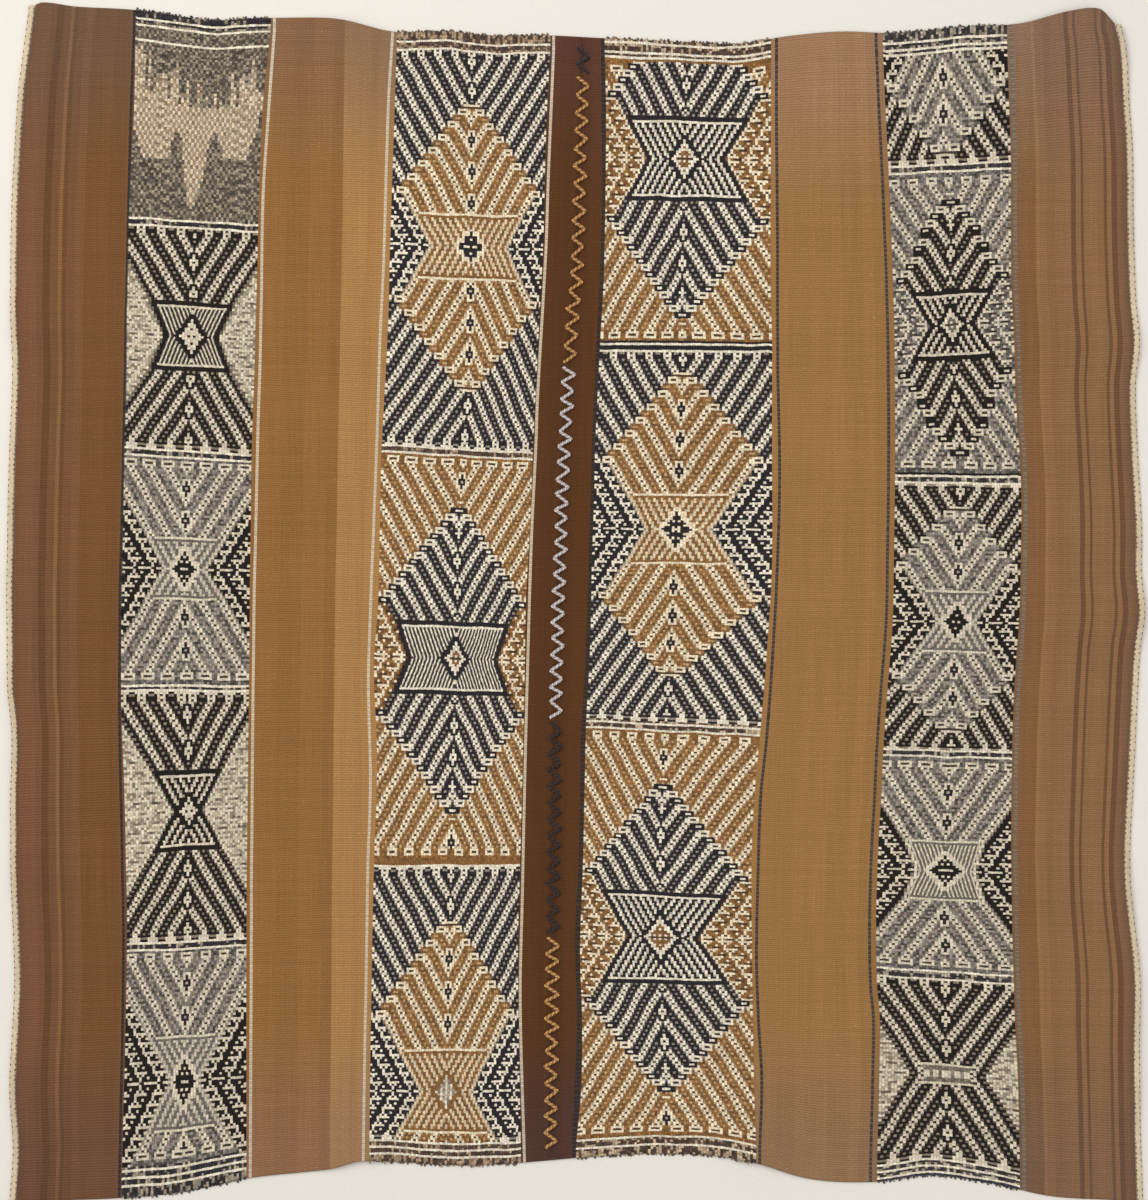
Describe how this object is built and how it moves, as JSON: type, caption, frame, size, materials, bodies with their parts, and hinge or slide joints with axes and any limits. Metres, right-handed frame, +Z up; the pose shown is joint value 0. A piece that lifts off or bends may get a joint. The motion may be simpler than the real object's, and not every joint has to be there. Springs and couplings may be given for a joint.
{
  "type": "alpaca altar cloth",
  "caption": "Flat striped woollen cloth of two loom panels joined by a zigzag seam, with woven side bindings, lying face up.",
  "frame": {"origin": "centre of the cloth's box, on the surface it lies on", "axes": "+Z up out of the face that shows, +Y along the stripes towards the top end of the picture, +X across the stripes to the right"},
  "size_m": [1.1382, 1.1985, 0.0072],
  "materials": {
    "panel_wool": "matt warp-faced alpaca, ochre and brown with black and cream pattern bands",
    "binding_wool": "matt cream woven band",
    "gold_yarn": "soft plied wool",
    "white_yarn": "soft plied wool",
    "dark_yarn": "soft plied wool"
  },
  "bodies": {
    "root": {"left_panel": "panel_wool", "right_panel": "panel_wool", "left_binding": "binding_wool", "right_binding": "binding_wool", "seam_yarn_dark_top": "dark_yarn", "seam_yarn_gold_top": "gold_yarn", "seam_yarn_white": "white_yarn", "seam_yarn_dark_low": "dark_yarn", "seam_yarn_gold_low": "gold_yarn"}
  },
  "joints": []
}
